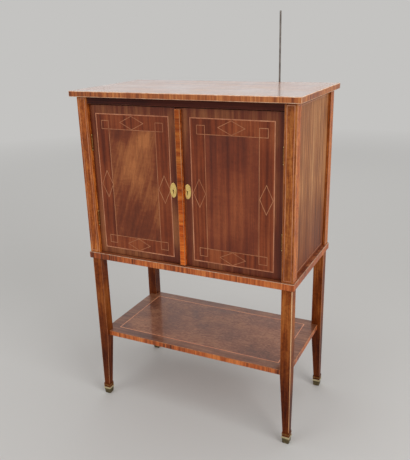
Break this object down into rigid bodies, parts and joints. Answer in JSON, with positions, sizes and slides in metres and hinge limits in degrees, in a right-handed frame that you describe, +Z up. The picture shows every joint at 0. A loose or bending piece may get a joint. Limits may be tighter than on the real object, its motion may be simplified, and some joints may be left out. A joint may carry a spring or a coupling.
{
  "type": "gramophone cabinet",
  "caption": "Inlaid mahogany gramophone cabinet on square tapering legs, with hinged lid, two doors over the horn, lower shelf, brass shoes and a slim rod behind.",
  "frame": {"origin": "on the floor, under the middle of the case", "axes": "+X to the right seen from the front, +Y to the back, +Z up"},
  "size_m": [0.753, 0.4345, 1.328],
  "materials": {
    "crossbanded_mahogany": "crossbanded orange-brown mahogany, french polished",
    "figured_mahogany": "dark red-brown figured mahogany with pale string inlay, french polished",
    "leg_mahogany": "straight-grained mahogany, polished",
    "rail_mahogany": "dark stained mahogany",
    "pine": "raw softwood, unpolished",
    "aged_brass": "dark tarnished brass with bright worn rims",
    "polished_brass": "polished brass, lightly worn",
    "nickel": "nickel plate",
    "steel": "plain steel, slightly dulled",
    "cast_iron": "black japanned cast iron",
    "blackened_steel": "black enamel",
    "boxwood_inlay": "pale string inlay of boxwood, flush and polished",
    "green_baize": "dark green baize glued on the turntable"
  },
  "bodies": {
    "case": {"leg_front_left": "leg_mahogany", "sabot_front_left": "aged_brass", "post_front_left": "crossbanded_mahogany", "leg_front_right": "leg_mahogany", "sabot_front_right": "aged_brass", "post_front_right": "crossbanded_mahogany", "leg_rear_left": "leg_mahogany", "sabot_rear_left": "aged_brass", "post_rear_left": "crossbanded_mahogany", "leg_rear_right": "leg_mahogany", "sabot_rear_right": "aged_brass", "post_rear_right": "crossbanded_mahogany", "base_plate": "crossbanded_mahogany", "lower_shelf": "figured_mahogany", "side_panel_left": "figured_mahogany", "side_panel_right": "figured_mahogany", "back_panel": "rail_mahogany", "back_rail": "rail_mahogany", "front_rail": "rail_mahogany", "motor_board": "rail_mahogany", "horn_fascia": "rail_mahogany", "horn": "pine", "lid_hinge_lower_leaf": "polished_brass", "stay_guide": "polished_brass", "winding_bush": "polished_brass", "left_lower_hinge_post_leaf": "aged_brass", "left_upper_hinge_post_leaf": "aged_brass", "right_lower_hinge_post_leaf": "aged_brass", "right_upper_hinge_post_leaf": "aged_brass", "tonearm_base": "nickel", "winding_crank": "nickel", "motor_frame": "cast_iron", "horn_throat": "cast_iron", "rod_bracket": "blackened_steel"},
    "left_door": {"left_door": "figured_mahogany", "escutcheon_left": "polished_brass", "left_lower_hinge_door_leaf": "aged_brass", "left_upper_hinge_door_leaf": "aged_brass"},
    "left_top_bolt": {"left_door_top_bolt": "polished_brass"},
    "left_bottom_bolt": {"left_door_bottom_bolt": "polished_brass"},
    "right_door": {"right_door": "figured_mahogany", "meeting_strip": "crossbanded_mahogany", "escutcheon_right": "polished_brass", "lock_case": "polished_brass", "right_lower_hinge_door_leaf": "aged_brass", "right_upper_hinge_door_leaf": "aged_brass"},
    "lock_bolt": {"lock_bolt": "steel"},
    "lid": {"lid": "figured_mahogany", "lid_hinge_upper_leaf": "polished_brass", "lid_stay": "polished_brass"},
    "turntable": {"turntable": "nickel", "turntable_spindle": "steel"},
    "barrel": {"spring_barrel": "steel"},
    "governor": {"governor": "polished_brass"},
    "winding_shaft": {"winding_shaft": "steel"},
    "tonearm": {"tonearm": "nickel"},
    "soundbox": {"soundbox": "nickel"},
    "brake": {"brake_lever": "nickel"},
    "speed_knob": {"speed_knob": "nickel"},
    "rod": {"rod": "steel"}
  },
  "joints": [
    {"name": "left_door_hinge", "type": "hinge", "parent": "case", "child": "left_door", "pos_m": [-0.3213, -0.183, 0.816], "axis": [0, 0, -1], "range_deg": [0, 100]},
    {"name": "right_door_hinge", "type": "hinge", "parent": "case", "child": "right_door", "pos_m": [0.3213, -0.183, 0.816], "axis": [0, 0, 1], "range_deg": [0, 100]},
    {"name": "left_top_bolt_slide", "type": "slide", "parent": "left_door", "child": "left_top_bolt", "axis": [0, 0, 1], "range_m": [0, 0.012]},
    {"name": "left_bottom_bolt_slide", "type": "slide", "parent": "left_door", "child": "left_bottom_bolt", "axis": [0, 0, -1], "range_m": [0, 0.012]},
    {"name": "lock_bolt_slide", "type": "slide", "parent": "right_door", "child": "lock_bolt", "axis": [-1, 0, 0], "range_m": [0, 0.009]},
    {"name": "lid_hinge", "type": "hinge", "parent": "case", "child": "lid", "pos_m": [0, 0.1952, 1.087], "axis": [-1, 0, 0], "range_deg": [0, 75]},
    {"name": "turntable_spin", "type": "hinge", "parent": "case", "child": "turntable", "pos_m": [-0.06, 0.01, 0.97], "axis": [0, 0, 1], "continuous": true},
    {"name": "barrel_spin", "type": "hinge", "parent": "case", "child": "barrel", "pos_m": [-0.1248, 0.01, 0.9], "axis": [0, 0, 1], "continuous": true},
    {"name": "governor_spin", "type": "hinge", "parent": "case", "child": "governor", "pos_m": [-0.0355, 0.01, 0.8847], "axis": [0, 1, 0], "continuous": true},
    {"name": "winding_shaft_spin", "type": "hinge", "parent": "case", "child": "winding_shaft", "pos_m": [-0.2, -0.044, 0.8917], "axis": [1, 0, 0], "continuous": true},
    {"name": "tonearm_swing", "type": "hinge", "parent": "case", "child": "tonearm", "pos_m": [0.15, 0.128, 0.98], "axis": [0, 0, 1], "range_deg": [-46, 0]},
    {"name": "soundbox_lift", "type": "hinge", "parent": "tonearm", "child": "soundbox", "pos_m": [0.15, -0.06815, 1.035], "axis": [-1, 0, 0], "range_deg": [0, 20]},
    {"name": "brake_turn", "type": "hinge", "parent": "case", "child": "brake", "pos_m": [0.06, -0.06, 0.966], "axis": [0, 0, 1], "range_deg": [0, 20]},
    {"name": "speed_knob_turn", "type": "hinge", "parent": "case", "child": "speed_knob", "pos_m": [0.075, -0.112, 0.966], "axis": [0, 0, 1], "range_deg": [0, 270]},
    {"name": "rod_slide", "type": "slide", "parent": "case", "child": "rod", "axis": [0, 0, 1], "range_m": [-0.235, 0]}
  ],
  "couplings": [
    {"joint": "barrel_spin", "follows": "turntable_spin", "ratio": -0.19444},
    {"joint": "governor_spin", "follows": "turntable_spin", "ratio": 11}
  ]
}
